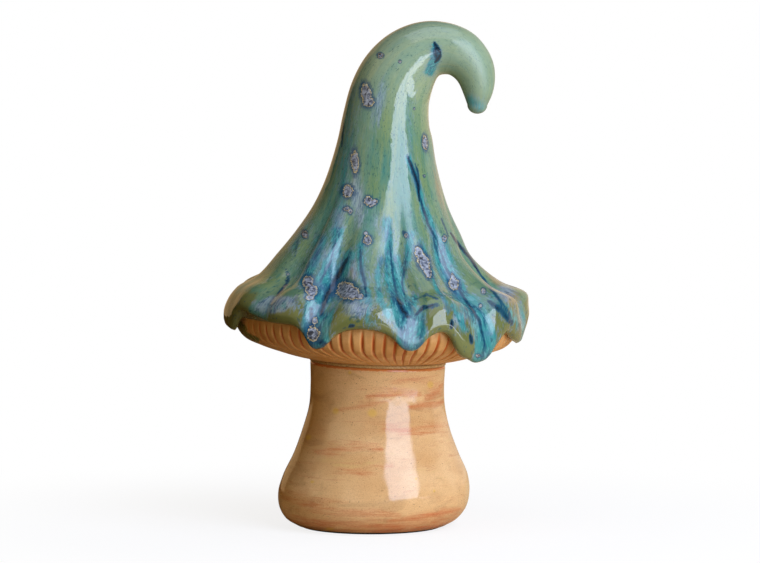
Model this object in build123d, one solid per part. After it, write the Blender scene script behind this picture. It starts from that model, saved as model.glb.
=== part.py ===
from build123d import *
from math import cos, hypot, pi, radians, sin
import os

# A stoneware mushroom ornament: a thrown, hollow, flared stem on a felt pad, and a hollow
# hat-shaped cap that lifts off it. The cap is a pleated shell with a rolled, dripping rim and a
# curled tip, closed from below by a carved gill plate, with a collar that drops into the stem.
# Millimetres, +Z up, +X towards the side that the tip curls to, -Y to the front. The origin is
# on the table, in the middle of the felt pad.

# Overall sizes
stem_height = 80.5
belly_radius = 47.0
cap_radius = 75.4
cap_height = 100.3

# Felt pad under the foot
felt_thickness = 1.0
felt_radius = 34.6

# Stem
stem_wall = 7.4
stem_floor = 8.0
floor_corner = 3.5
stem_sway = 3.2

# Mouth of the stem, cut askew by this many degrees so that the cap leans, and the collar that
# drops into it
cap_lean = 2.1
mouth_radius = 26.5
mouth_depth = 14.0
collar_clearance = 0.6
collar_wall = 4.2
collar_depth = 10.0
collar_chamfer = 1.0
seat_ring_radius = 33.4
seat_ring_thickness = 1.5

# Gill plate, inside the rolled rim, its gills bent by this many degrees from the edge to the neck
rim_roll = 6.2
plate_seat_height = 22.0
plate_wall = 5.6
plate_shift = 1.5
gill_count = 80
gill_depth = 1.3
gill_twist = 11.0

# Cap shell
cap_wall = 5.2
rim_clearance = 0.3
pleat_depth = 4.6
drip_drop = 9.4
cap_sway = 4.0

# Curled tip
curl_root_radius = 21.6
curl_reach = 44.4
curl_start = 118.0
curl_rise = 37.0
curl_forward = 8.0

# Cutting shapes reach this far past what they cut
overrun = 2.0

# Sides of each round section of the stem and of the hollows
side_count = 48

# Weights of the two near rows and the two far ones in a row put halfway between the near ones
near_share = 0.5625
far_share = 0.0625

# Stem rings from the foot up: height, radius and sideways sway of the thrown axis, as shares of
# the stem's height, its belly radius and its sway
stem_shares = (
    (0.00, 0.789, 0.00),
    (0.04, 0.902, 0.07),
    (0.105, 0.977, 0.21),
    (0.205, 1.000, 0.40),
    (0.295, 0.972, 0.62),
    (0.44, 0.864, 0.75),
    (0.59, 0.772, 0.76),
    (0.74, 0.710, 0.87),
    (0.87, 0.699, 0.94),
    (1.00, 0.706, 1.00),
)

# Underside of the gill plate, from the seat ring to its rounded edge: radius and height, as
# shares of the way from the ring out to the plate's edge and from the ring up to the plate's
# seat, then how deep the grooves are and how far they have curved, as shares of their full
# depth and twist
bowl_shares = (
    (0.0, 0.0, 0.0, 1.00),
    (0.21, 0.07, 0.3, 0.62),
    (0.44, 0.18, 0.8, 0.30),
    (0.68, 0.31, 1.0, 0.08),
    (0.88, 0.48, 1.0, 0.00),
    (0.975, 0.70, 1.0, 0.00),
    (1.0, 1.0, 0.0, 0.00),
)

# Rings of the room inside the gill plate, a wall's thickness from its underside, in the same shares
room_shares = ((0.0, 0.0), (0.68, 0.31))

# Corners of one gill and its groove, as shares of their pitch, and how far each is sunk
gill_shares = ((0.0, 0.0), (0.55, 0.0), (0.78, 1.0))

# Rings of the cap over the rolled rim and up the skirt: radius and height of the ridges, as
# shares of the cap's radius and height, then how far the valleys lie inside and below them and
# the sideways sway, as shares of the pleat depth, the drip drop and the sway
cap_shares = (
    (0.950, 0.217, 0.00, 0.99, -0.50),
    (0.985, 0.226, 0.05, 0.96, -0.50),
    (1.000, 0.262, 0.15, 0.80, -0.45),
    (0.987, 0.314, 0.42, 0.64, -0.28),
    (0.958, 0.361, 0.65, 0.48, 0.08),
    (0.810, 0.414, 0.85, 0.30, -0.33),
    (0.639, 0.531, 0.61, 0.10, -0.85),
    (0.533, 0.648, 0.28, 0.00, -0.50),
    (0.443, 0.766, 0.11, 0.00, -0.30),
    (0.380, 0.882, 0.02, 0.00, -0.18),
    (0.335, 1.000, 0.00, 0.00, -0.13),
    (0.304, 1.110, 0.00, 0.00, -0.08),
)

# Where the pleats' valleys lie round the cap, in degrees from +X against the clock, and how long
# the drip under each one hangs, as a share of the drip drop
valley_angles = (22, 52, 86, 115, 143, 172, 222, 247, 284, 315, 348)
drip_shares = (1.00, 0.70, 0.65, 0.80, 0.60, 1.00, 0.05, 1.15, 1.05, 1.75, 0.60)

# Points across one pleat, as shares of its width, and how far each lies towards the ridge
ridge_share = 0.5
pleat_shares = ((0.07, 0.08), (0.22, 0.68), (ridge_share, 1.0), (0.78, 0.68), (0.93, 0.08))

# The curled tip's centre line, as shares of its reach, its bend forward and its rise, and its
# radius at places along that line, as shares of the root radius
curl_shares = (
    (0.0, 0.0, 0.0),
    (0.12, 0.08, 0.64),
    (0.51, 0.42, 1.0),
    (0.82, 0.75, 0.90),
    (0.99, 0.96, 0.55),
    (1.0, 1.0, 0.25),
)
taper_shares = (
    (0.0, 1.0),
    (0.16, 0.92),
    (0.28, 0.865),
    (0.39, 0.785),
    (0.54, 0.636),
    (0.70, 0.537),
    (0.83, 0.444),
    (0.93, 0.322),
    (1.0, 0.224),
)

# How far the rounded end reaches past the last ring and how wide it still is there, as shares of
# that ring's radius
end_shares = ((0.5, 0.87), (0.85, 0.53), (0.98, 0.2))

# Place of the cap on the stem's mouth
seat_centre = (stem_sway, 0, stem_height)
cap_place = Location(seat_centre, (0, cap_lean, 0))
plate_radius = cap_radius - rim_roll
collar_radius = mouth_radius - collar_clearance
collar_bore = collar_radius - collar_wall


def smooth_rows(rows):
    """Rows with one more between each two, on the curve that runs smoothly through them all."""
    finer = []
    for index in range(len(rows) - 1):
        before, start, end, after = (
            rows[max(index - 1, 0)],
            rows[index],
            rows[index + 1],
            rows[min(index + 2, len(rows) - 1)],
        )
        finer.append(start)
        four = zip(before, start, end, after)
        finer.append(tuple(near_share * (b + c) - far_share * (a + d) for a, b, c, d in four))
    return finer + [rows[-1]]


def ring(radius, x, z):
    """Points of a level circle round a point of the swaying axis."""
    turns = [2 * pi * side / side_count for side in range(side_count)]
    return [(x + radius * cos(turn), radius * sin(turn), z) for turn in turns]


def faceted_loft(rings):
    """A loft from the first ring to the last, with two flat facets between each four points."""
    faces = [Face(Wire.make_polygon(rings[0])), Face(Wire.make_polygon(rings[-1]))]
    for lower, upper in zip(rings, rings[1:]):
        for index in range(len(lower)):
            near_low, far_low = lower[index - 1], lower[index]
            near_high, far_high = upper[index - 1], upper[index]
            faces.append(Face(Wire.make_polygon([near_low, far_low, far_high])))
            faces.append(Face(Wire.make_polygon([near_low, far_high, near_high])))
    return Solid(Shell(faces))


def stem_section(height):
    """Radius and sway of the stem at a height above its foot."""
    rows = smooth_rows(stem_shares)
    share = height / (stem_height - felt_thickness)
    for low, high in zip(rows, rows[1:]):
        if share <= high[0]:
            break
    way = (share - low[0]) / (high[0] - low[0])
    radius = low[1] + way * (high[1] - low[1])
    sway = low[2] + way * (high[2] - low[2])
    return radius * belly_radius, sway * stem_sway


def make_stem():
    """The thrown wall, belly and floor, hollow to the mouth, which is cut to the cap's lean."""
    clay_height = stem_height - felt_thickness
    rings = []
    for height_share, radius_share, sway_share in smooth_rows(stem_shares):
        height = felt_thickness + height_share * clay_height
        rings.append(ring(radius_share * belly_radius, sway_share * stem_sway, height))
    top_radius, top_sway = stem_section(clay_height)
    rings.append(ring(top_radius, top_sway, stem_height + overrun))
    outside = faceted_loft(rings)

    floor_radius, floor_sway = stem_section(stem_floor)
    inner_rings = [
        ring(floor_radius - stem_wall - floor_corner, floor_sway, felt_thickness + stem_floor)
    ]
    for height_share, radius_share, sway_share in stem_shares:
        if height_share * clay_height > stem_floor + floor_corner:
            height = felt_thickness + height_share * clay_height
            radius = radius_share * belly_radius - stem_wall
            inner_rings.append(ring(radius, sway_share * stem_sway, height))
    inner_rings.append(ring(top_radius - stem_wall, top_sway, stem_height + overrun))
    hollow = faceted_loft(inner_rings)

    bottom_up = (Align.CENTER, Align.CENTER, Align.MIN)
    above = cap_place * Cylinder(belly_radius, belly_radius, align=bottom_up)
    bore = cap_place * Pos(0, 0, -mouth_depth) * Cylinder(
        mouth_radius, mouth_depth + overrun, align=bottom_up
    )
    return outside - hollow - above - bore


def make_felt_pad():
    """A thin disc under the foot."""
    return Pos(0, 0, felt_thickness / 2) * Cylinder(felt_radius, felt_thickness)


def make_collar():
    """A ring that lies on the stem's mouth, with a spigot that drops into it."""
    bottom_up = (Align.CENTER, Align.CENTER, Align.MIN)
    top_down = (Align.CENTER, Align.CENTER, Align.MAX)
    seat_ring = Cylinder(seat_ring_radius, seat_ring_thickness, align=bottom_up)
    spigot = Cylinder(collar_radius, collar_depth, align=top_down)
    spigot = chamfer(spigot.faces().sort_by(Axis.Z)[0].edges(), collar_chamfer)
    bore = Pos(0, 0, -collar_depth - overrun) * Cylinder(
        collar_bore, collar_depth + seat_ring_thickness + 2 * overrun, align=bottom_up
    )
    return seat_ring + spigot - bore


def toothed_ring(radius, height, depth, twist):
    """A ring round the underside with a notch of this depth at each groove between two gills."""
    corners = []
    for index in range(gill_count):
        for share, sink in gill_shares:
            turn = twist + 2 * pi * (index + share) / gill_count
            reach = radius - sink * depth
            corners.append((reach * cos(turn), reach * sin(turn), height + sink * depth))
    return corners


def make_gill_plate():
    """A bowl-shaped plate, flat on top, with curved grooves carved from its edge inwards."""
    out = plate_radius - seat_ring_radius
    up = plate_seat_height - seat_ring_thickness
    rings = []
    for out_share, up_share, depth_share, twist_share in bowl_shares:
        radius = seat_ring_radius + out_share * out
        height = seat_ring_thickness + up_share * up
        twist = radians(twist_share * gill_twist)
        rings.append(toothed_ring(radius, height, depth_share * gill_depth, twist))
    outside = faceted_loft(rings)

    room = []
    for out_share, up_share in room_shares:
        height = seat_ring_thickness + up_share * up + plate_wall
        room.append(ring(seat_ring_radius + out_share * out - plate_wall, 0, height))
    seat_inside = room[-1][0][0]
    room.append(ring(seat_inside, 0, plate_seat_height + overrun))
    hollow = faceted_loft(room)
    bore = Pos(0, 0, plate_seat_height / 2) * Cylinder(collar_bore, plate_seat_height)
    return Pos(-plate_shift, 0, 0) * (outside - hollow) - bore


def pleat_points():
    """Angle, rise towards the ridge and drip share for each point round the cap."""
    points = []
    for index, start in enumerate(valley_angles):
        after = (index + 1) % len(valley_angles)
        width = (valley_angles[after] - start) % 360
        for share, rise in pleat_shares:
            nearer = index if share <= ridge_share else after
            points.append((radians(start + width * share), rise, drip_shares[nearer]))
    return points


def pleated_ring(radius, height, depth, drop, sway):
    """A closed ring round the cap, drawn in and down at each valley."""
    corners = []
    for angle, rise, drip in pleat_points():
        reach = radius - depth * (1 - rise)
        level = height - drop * drip * (1 - rise)
        corners.append((sway + reach * cos(angle), reach * sin(angle), level))
    return corners


def round_ring(radius, plane):
    """A circle drawn with the same points as a pleated ring."""
    corners = []
    for angle, _, _ in pleat_points():
        corner = plane.from_local_coords((radius * cos(angle), radius * sin(angle), 0))
        corners.append(tuple(corner))
    return corners


def cap_rows():
    """Radius, height, valley depth, valley drop and sway of each ring, in millimetres."""
    sizes = (cap_radius, cap_height, pleat_depth, drip_drop, cap_sway)
    rows = smooth_rows(cap_shares)
    return [tuple(share * size for share, size in zip(row, sizes)) for row in rows]


def make_cap_outside():
    """Rim, skirt and cone in pleated rings, then round rings along the curled tip."""
    rings = [pleated_ring(plate_radius + rim_clearance, plate_seat_height, 0, 0, -plate_shift)]
    rings += [pleated_ring(*row) for row in cap_rows()]
    corners = [
        (x * curl_reach, -y * curl_forward, curl_start + z * curl_rise) for x, y, z in curl_shares
    ]
    line = Spline(corners, tangents=[(0, 0, 1), (0, 0, -1)])
    for place, share in smooth_rows(taper_shares):
        along = line % place
        plane = Plane(line @ place, x_dir=(along.Z, 0, -along.X), z_dir=along)
        rings.append(round_ring(share * curl_root_radius, plane))
    end_radius = taper_shares[-1][1] * curl_root_radius
    for reach_share, radius_share in end_shares:
        further = plane.offset(reach_share * end_radius)
        rings.append(round_ring(radius_share * end_radius, further))
    return faceted_loft(rings)


def make_cap_hollow():
    """The room under the skirt, a wall's thickness inside the pleats' valleys."""
    rows = [(r - depth, z - drop, sway) for r, z, depth, drop, sway in cap_rows()[::2]]
    rings = []
    for before, row, after in zip(rows, rows[1:], rows[2:]):
        out, up = after[0] - before[0], after[1] - before[1]
        length = hypot(out, up)
        radius = row[0] - cap_wall * up / length
        height = row[1] + cap_wall * out / length
        if height > plate_seat_height + cap_wall:
            rings.append((radius, height, row[2]))
    mouth = rings[0]
    rings.insert(0, (mouth[0], plate_seat_height - overrun, mouth[2]))
    top_radius, top_height, top_sway = rings[-1]
    for reach_share, radius_share in end_shares:
        rings.append((radius_share * top_radius, top_height + reach_share * top_radius, top_sway))
    wires = [ring(radius, sway, height) for radius, height, sway in rings]
    return faceted_loft(wires)


os.makedirs("parts", exist_ok=True)
nodes = {
    "stem": make_stem(),
    "felt_pad": make_felt_pad(),
    "locating_collar": cap_place * make_collar(),
    "gill_plate": cap_place * make_gill_plate(),
    "cap_shell": cap_place * (make_cap_outside() - make_cap_hollow()),
}
for name, solid in nodes.items():
    export_step(solid, f"parts/{name}.step")
    box = solid.bounding_box()
    print(name, len(solid.solids()), round(solid.volume), box.min, box.max)
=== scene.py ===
# %% [markdown]
# # A stoneware mushroom ornament
#
# The ornament is made of two glazed stoneware pieces. A pot-bellied, hollow stem stands on a felt
# pad, and a hat-shaped cap with a curled tip sits loose in its mouth. The solid model gives the
# sizes and the joint. This lesson makes the surfaces that the eye sees, in the same frame, in
# metres, with +X towards the curl and -Y towards the viewer.

# %% load the solid model
from math import cos, pi, radians, sin, tan

import bpy
import numpy as np
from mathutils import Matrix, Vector


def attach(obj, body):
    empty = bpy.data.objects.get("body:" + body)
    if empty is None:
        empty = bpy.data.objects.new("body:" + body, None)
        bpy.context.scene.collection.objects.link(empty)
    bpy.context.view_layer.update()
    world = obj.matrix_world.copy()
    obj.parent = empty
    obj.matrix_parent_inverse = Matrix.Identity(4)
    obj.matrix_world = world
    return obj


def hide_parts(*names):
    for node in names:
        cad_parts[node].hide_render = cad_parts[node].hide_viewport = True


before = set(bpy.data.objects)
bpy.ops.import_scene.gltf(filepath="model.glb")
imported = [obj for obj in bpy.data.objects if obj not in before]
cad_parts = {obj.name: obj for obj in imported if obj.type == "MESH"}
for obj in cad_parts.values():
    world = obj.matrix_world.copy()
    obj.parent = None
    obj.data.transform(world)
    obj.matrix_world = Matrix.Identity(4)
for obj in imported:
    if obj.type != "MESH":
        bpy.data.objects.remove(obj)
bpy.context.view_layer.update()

# %% [markdown]
# ## Curves through a few measured rows
#
# A potter judges a profile by a few rings: the foot, the belly, the neck, the rim. Each piece here
# is written the same way, as a short table of rings, and one function runs a smooth curve through
# them.

# %% a smooth curve through rows
def through(places, rows, at):
    """Values at the places `at` on the cubic curve that runs through the rows.

    Between two rows the value is a cubic with the rows' own values and slopes at its ends, and
    each slope is the second-order difference of the neighbours.
    """
    places, rows, at = (np.asarray(values, float) for values in (places, rows, at))
    slopes = np.gradient(rows, places, axis=0)
    index = np.clip(np.searchsorted(places, at, side="right") - 1, 0, len(places) - 2)
    span = places[index + 1] - places[index]
    way = (at - places[index]) / span
    if rows.ndim > 1:
        way, span = way[:, None], span[:, None]
    start, end = rows[index], rows[index + 1]
    leave, arrive = slopes[index] * span, slopes[index + 1] * span
    return (
        (2 * way**3 - 3 * way**2 + 1) * start
        + (way**3 - 2 * way**2 + way) * leave
        + (3 * way**2 - 2 * way**3) * end
        + (way**3 - way**2) * arrive
    )


def lengths_along(points):
    """Distance from the first point to each point, along the straight lines between them."""
    steps = np.linalg.norm(np.diff(points, axis=0), axis=1)
    return np.concatenate([[0.0], np.cumsum(steps)])


def swell(values, low, high):
    """0 below low, 1 above high, and a smooth S between them."""
    way = np.clip((values - low) / (high - low), 0, 1)
    return way * way * (3 - 2 * way)


# %% [markdown]
# ## From a grid of points to a closed skin
#
# Every surface is a grid: rings of points, each ring closed on itself. A thrown pot is closed at
# both ends by a pole, one point where the ring has shrunk to nothing. A ring-shaped piece has no
# poles, its last ring joins its first.

# %% the closed grid
def closed_grid(rings, ring_shaped):
    """Points and outward faces of a grid of rings, which grid points they keep, and the volume.

    Six times the volume is the sum, over all triangles, of the first corner times the cross
    product of the other two. Where it is negative the faces look inwards and are turned round.
    """
    count, around = rings.shape[:2]
    ids = np.arange(count * around).reshape(count, around)
    if ring_shaped:
        ids = np.vstack([ids, ids[:1]])
        keep = np.arange(count * around)
        points = rings.reshape(-1, 3)
    else:
        keep = np.concatenate([[0], ids[1:-1].ravel(), [ids[-1, 0]]])
        points = rings.reshape(-1, 3)[keep].copy()
        points[0], points[-1] = rings[0].mean(axis=0), rings[-1].mean(axis=0)
        first, last = np.zeros(around, int), np.full(around, (count - 2) * around + 1)
        between = np.arange((count - 2) * around).reshape(count - 2, around) + 1
        ids = np.vstack([first, between, last])
    low, high = ids[:-1], ids[1:]
    quads = np.stack([low, np.roll(low, -1, 1), np.roll(high, -1, 1), high], axis=-1)
    a, b, c, d = (points[quads.reshape(-1, 4)[:, k]] for k in range(4))
    volume = (np.einsum("ij,ij->", a, np.cross(b, c)) + np.einsum("ij,ij->", a, np.cross(c, d))) / 6
    if ring_shaped:
        faces = quads.reshape(-1, 4).tolist()
    else:
        faces = quads[1:-1].reshape(-1, 4).tolist()
        faces += quads[0][:, [0, 2, 3]].tolist() + quads[-1][:, [0, 1, 2]].tolist()
    if volume < 0:
        faces = [face[::-1] for face in faces]
    return points, faces, keep, abs(volume)


# %% the mesh maker
MM = 0.001


def put(name, data):
    """A new object of the scene that shows the data."""
    made = bpy.data.objects.new(name, data)
    bpy.context.scene.collection.objects.link(made)
    return made


def make_piece(name, rings, body, nodes, material, fields=None, ring_shaped=False):
    """A closed mesh from rings of points in millimetres, shape (rings, points, 3)."""
    points, faces, keep, volume = closed_grid(rings, ring_shaped)
    mesh = bpy.data.meshes.new(name)
    mesh.from_pydata((points * MM).tolist(), [], faces)
    mesh.polygons.foreach_set("use_smooth", np.ones(len(faces), bool))
    for label, values in (fields or {}).items():
        kept = values.reshape(rings.shape[0] * rings.shape[1], -1)[keep]
        vector = kept.shape[1] == 3
        kind = "FLOAT_VECTOR" if vector else "FLOAT"
        layer = mesh.attributes.new(label, kind, "POINT")
        layer.data.foreach_set("vector" if vector else "value", kept.ravel().astype(np.float32))
    mesh.update()
    piece = put(name, mesh)
    mesh.materials.append(material)
    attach(piece, body)
    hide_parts(*nodes)
    print(name, len(mesh.vertices), "points,", round(volume / 1000, 1), "cm3")


# %% [markdown]
# ## Writing a finish
#
# A finish is a small network of shader nodes. The class below keeps such a network short to
# write: each method adds one node or two and returns the output. Patterns are laid out in
# millimetres on the object's own coordinates, or on fields that the surfaces carry with them. A
# glaze is painted as a potter layers it: a base tone first, then one wash after another, each
# laid where a field or a noise rises from one level to another.

# %% colours
def colour(*levels):
    """A colour given in the 0 to 255 levels of a screen, as linear light."""
    share = np.asarray(levels) / 255
    linear = np.where(share <= 0.04045, share / 12.92, ((share + 0.055) / 1.055) ** 2.4)
    return tuple(float(v) for v in linear)


# %% the finish writer
# the window's light is bluer than the paper, so the base colours are sent a little yellower
UNDER_WINDOW_LIGHT = (1.0, 0.97, 0.82)


def add_node(tree, kind, inputs, output=0, **settings):
    """One output of a new node, whose inputs are linked to sockets or set to values."""
    made = tree.nodes.new("ShaderNode" + kind)
    for key, value in settings.items():
        setattr(made, key, value)
    for key, value in inputs.items():
        if isinstance(value, bpy.types.NodeSocket):
            tree.links.new(value, made.inputs[key])
        else:
            made.inputs[key].default_value = value
    return made.outputs[output]


class Finish:
    """A material, its principled surface, and methods that add nodes and return an output."""

    def __init__(self, name, **settings):
        self.material = bpy.data.materials.new(name)
        self.material.use_nodes = True
        self.tree = self.material.node_tree
        self.surface = self.tree.nodes["Principled BSDF"]
        for key, value in settings.items():
            self.surface.inputs[key].default_value = value

    def node(self, kind, inputs, output=0, **settings):
        return add_node(self.tree, kind, inputs, output, **settings)

    def place(self):
        """The object's own coordinates, in millimetres."""
        here = self.node("TexCoord", {}, "Object")
        return self.node("VectorMath", {0: here, "Scale": 1 / MM}, operation="SCALE")

    def field(self, name, output="Fac"):
        """A field that the mesh carries with it, point by point."""
        return self.node("Attribute", {}, output, attribute_name=name)

    def times(self, vector, *factors):
        """The vector with each of its three parts multiplied by its own factor."""
        return self.node("VectorMath", {0: vector, 1: factors}, operation="MULTIPLY")

    def math(self, operation, first, second=0.0):
        return self.node("Math", {0: first, 1: second}, operation=operation)

    def step(self, value, low, high, start=0.0, end=1.0):
        """A smooth change from start to end while the value goes from low to high."""
        inputs = {0: value, 1: low, 2: high, 3: start, 4: end}
        return self.node("MapRange", inputs, interpolation_type="SMOOTHSTEP")

    def noise(self, vector, scale, detail=3.0, roughness=0.55, distortion=0.0):
        """Smooth noise about 0.5, whose widest waves are one over the scale long."""
        inputs = {"Vector": vector, "Scale": scale, "Detail": detail}
        inputs.update({"Roughness": roughness, "Distortion": distortion})
        return self.node("TexNoise", inputs, "Fac")

    def frayed(self, field, *frays):
        """A field made ragged by noises, each given with its strength."""
        for noise, strength in frays:
            off = self.math("MULTIPLY", self.math("SUBTRACT", noise, 0.5), strength)
            field = self.math("ADD", field, off)
        return field

    def product(self, first, *others):
        for other in others:
            first = self.math("MULTIPLY", first, other)
        return first

    def mix(self, share, first, second):
        """The first colour where the share is 0, the second where it is 1."""
        sockets = bpy.types.NodeSocket
        first, second = (c if isinstance(c, sockets) else (*c, 1) for c in (first, second))
        return self.node("Mix", {0: share, 6: first, 7: second}, 2, data_type="RGBA")

    def wash(self, tone, value, low, high, strength, over):
        """The tone with another over it, up to a strength, while the value goes low to high."""
        over = over if isinstance(over, bpy.types.NodeSocket) else colour(*over)
        return self.mix(self.step(value, low, high, 0.0, strength), tone, over)

    def bump(self, height, distance_mm, normal=None):
        """A surface normal tilted as if the height stood out by the distance."""
        inputs = {"Height": height, "Distance": distance_mm * MM, "Strength": 1.0}
        if normal is not None:
            inputs["Normal"] = normal
        return self.node("Bump", inputs)

    def send(self, name, value):
        if name == "Base Color":
            value = self.times(value, *UNDER_WINDOW_LIGHT)
        self.tree.links.new(value, self.surface.inputs[name])


# %% [markdown]
# ## Where the cap sits
#
# The mouth of the stem is cut two degrees askew, so the whole cap leans towards the curl. All cap
# surfaces are made upright round the seat and are then leant and moved together.

# %% the seat
SEAT = np.array([3.2, 0.0, 80.5])
LEAN = radians(2.1)
LEANING = np.array([[cos(LEAN), 0, sin(LEAN)], [0, 1, 0], [-sin(LEAN), 0, cos(LEAN)]])


def on_seat(points):
    """Points of the upright cap, leant and moved onto the stem."""
    return points @ LEANING.T + SEAT


# %% [markdown]
# ## The cap's rings
#
# Eleven pleats run down the skirt. Each was pressed in with a finger while the clay was soft, so
# the valleys are narrower than the ridges and not evenly spaced. A row of the table gives a ring:
# radius and height at the ridges, how far the valleys lie inside and below, and the sideways sway.
# Above the skirt the rings follow the spine of the curl and lean with it.

# %% the cap's guide rows
VALLEYS = np.array([22, 52, 86, 115, 143, 172, 222, 247, 284, 315, 348])
DRIPS = np.array([1.00, 0.70, 0.65, 0.80, 0.60, 0.15, 0.00, 1.15, 1.05, 1.65, 0.60])
PLEAT_PLACES = [-0.22, -0.07, 0.07, 0.22, 0.5, 0.78, 0.93, 1.07, 1.22]
PLEAT_RISES = [0.68, 0.08, 0.08, 0.68, 1.0, 0.68, 0.08, 0.08, 0.68]

skirt_rows = np.array(
    [
        # radius, height, valley depth, valley drop, sway, lean back of the front and back lobes
        (71.4, 21.8, 0.0, 9.2, -2.0, 0.0),
        (74.0, 22.7, 0.7, 9.0, -2.0, 0.0),
        (75.1, 26.3, 1.8, 7.5, -1.8, 0.2),
        (74.1, 31.5, 3.4, 5.6, -1.1, 1.4),
        (72.0, 36.2, 6.0, 4.2, 0.3, 3.4),
        (60.8, 41.5, 6.8, 2.8, -1.3, 1.6),
        (47.9, 53.2, 4.6, 0.9, -3.4, 0.3),
        (40.0, 65.0, 2.3, 0.0, -2.0, 0.0),
        (33.2, 76.8, 0.9, 0.0, -1.2, 0.0),
        (28.5, 88.5, 0.2, 0.0, -0.7, 0.0),
        (25.1, 100.3, 0.0, 0.0, -0.5, 0.0),
        (22.8, 111.3, 0.0, 0.0, -0.3, 0.0),
    ]
)
curl_rows = np.array(
    [
        # spine x, spine height, radius, how far it has come forward
        (-0.2, 118.0, 21.5, 0.0),
        (1.3, 131.6, 19.7, 0.3),
        (5.3, 141.5, 18.4, 0.7),
        (11.1, 148.8, 16.7, 1.6),
        (22.7, 154.9, 13.5, 3.4),
        (36.5, 151.5, 11.4, 6.0),
        (42.8, 142.3, 9.4, 7.3),
        (43.9, 133.6, 7.0, 7.8),
        (43.8, 128.4, 4.9, 8.0),
    ]
)
PLATE_EDGE = 69.2

# %% [markdown]
# ## Lips on the rim
#
# The soft rim was not trimmed level: at the far left, at the right and beside the widest drip it
# hangs as a lip, and just left of the front it was lifted. The hang follows the square of the
# valleys' drop, so it is full at the rim's lower edge and fades out over the roll.

# %% where the rim hangs
rim_hang = np.array(
    [
        # degrees round the cap, millimetres down
        (150, 0), (165, 2), (180, 4), (192, 6), (199, 7), (203, 2), (207, -4), (212, -3.5),
        (226, 0), (297, 0), (300, 3), (303, 8), (307, 6.5), (310, 2.5), (314, 0), (329, 0),
        (334, 3.5), (339, 6), (344, 4), (351, 0.5), (382, 0),
    ]
)

# %% the pleats, point by point round a ring
per_pleat = 44
start = VALLEYS[:, None]
width = (np.roll(VALLEYS, -1)[:, None] - start) % 360
share = np.arange(per_pleat) / per_pleat
cap_angle = np.radians(start + width * share).ravel()
cap_rise = np.tile(through(PLEAT_PLACES, PLEAT_RISES, share), len(VALLEYS))
next_drip = np.roll(DRIPS, -1)[:, None]
cap_drip = np.where(share <= 0.5, DRIPS[:, None], next_drip).ravel()
cap_aside = (np.where(share <= 0.5, share, 1 - share) * width).ravel()
around = len(cap_angle)

degrees_round = np.degrees(cap_angle)
# lobes at the front and the back that lean inwards: two bells with flat tops
lobes = [(285, 48), (92, 62)]
soft_lobes = sum(np.exp(-(((degrees_round - at) / wide) ** 4)) for at, wide in lobes)
# the hang, as the mean over five degrees, so that no lip has a sharp corner
nearby = degrees_round[:, None] + np.arange(-2, 3)
hang = np.interp(nearby, *rim_hang.T).mean(axis=1) / skirt_rows[0, 3] ** 2
# the longest drip, at the right front, is also the widest
WIDE_DRIP = 9
drip_shape = np.where(np.abs(degrees_round - VALLEYS[WIDE_DRIP]) < 16, 0.5, 1.0)

# %% the guide rows as a smooth family of rings
skirt_radius, skirt_height, skirt_depth, skirt_drop, skirt_sway, skirt_back = skirt_rows.T
spine_x, spine_z, curl_radius, curl_forward = curl_rows.T
spine = curl_rows[:, :2]
slope = np.gradient(spine, lengths_along(spine), axis=0)
tilt = np.arctan2(slope[:, 0], slope[:, 1])
tilt[-1] = pi
level, plain = np.zeros(len(skirt_rows)), np.zeros(len(curl_rows))
skirt_guide = [skirt_sway, skirt_height, level, skirt_radius, skirt_depth, skirt_drop, level]
curl_guide = [spine_x, spine_z, tilt, curl_radius, plain, plain, curl_forward]
guide = np.vstack(
    [np.column_stack([*skirt_guide, skirt_back]), np.column_stack([*curl_guide, plain])]
)
x, z, turn, radius = guide[:, :4].T
outer_line = np.column_stack([x - radius * np.cos(turn), z + radius * np.sin(turn)])
guide_along = lengths_along(outer_line)
fine_along = np.linspace(0, guide_along[-1], 176)
rows = through(guide_along, guide, fine_along)
# the horn's glaze turns dull from two millimetres before its fifth ring
HORN_DULL = float(guide_along[len(skirt_rows) + 4]) - 2
print("rim to tip along the outer line:", round(guide_along[-1]), "mm,", around, "points round")


# %% rings to points
def ring_points(x, z, turn, radius, depth, drop, forward=0.0, back=0.0):
    """One ring of the cap: a circle leant by `turn`, drawn in and down at each valley.

    The reach is the radius, less the depth where the pleat is sunk, less the lean of the front
    and back lobes where it is raised. The height falls by the drop times the drip, and by the
    square of the drop times the rim's hang.
    """
    sunk = 1 - cap_rise
    reach = radius - depth * sunk - back * soft_lobes * cap_rise
    out = reach * np.cos(cap_angle)
    points = np.empty((around, 3))
    points[:, 0] = x + out * cos(turn)
    points[:, 1] = reach * np.sin(cap_angle) - forward
    points[:, 2] = z - out * sin(turn) - drop * cap_drip * sunk**drip_shape - drop**2 * hang
    return points


skirt_and_curl = np.stack([ring_points(*row) for row in rows])
end_x, end_z, _, end_radius, _, _, end_forward = rows[-1, :7]
dome = np.radians(np.linspace(12, 90, 8))
tip = np.stack(
    [
        ring_points(end_x, end_z - 0.9 * end_radius * up, pi, end_radius * out, 0, 0, end_forward)
        for up, out in zip(np.sin(dome), np.cos(dome))
    ]
)
# the hollow room inside the cap, from its top down to the rim: radius, height
room_rows = [(2.0, 104.0), (12.0, 103.0), (19.9, 99.2), (23.0, 87.0), (27.5, 74.9), (33.0, 62.8)]
room_rows += [(39.5, 48.8), (52.0, 34.7), (61.0, 27.8), (61.0, 22.0), (PLATE_EDGE + 0.3, 22.0)]
room = np.stack([ring_points(-2.5, z, 0, r, 0, 0) for r, z in room_rows])
cap_grid = np.concatenate([room, skirt_and_curl, tip])
cap_points = on_seat(cap_grid)
cap_along = np.concatenate(
    [np.full(len(room), -5.0), fine_along, fine_along[-1] + end_radius * dome]
)
print("cap grid", cap_grid.shape)

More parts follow.
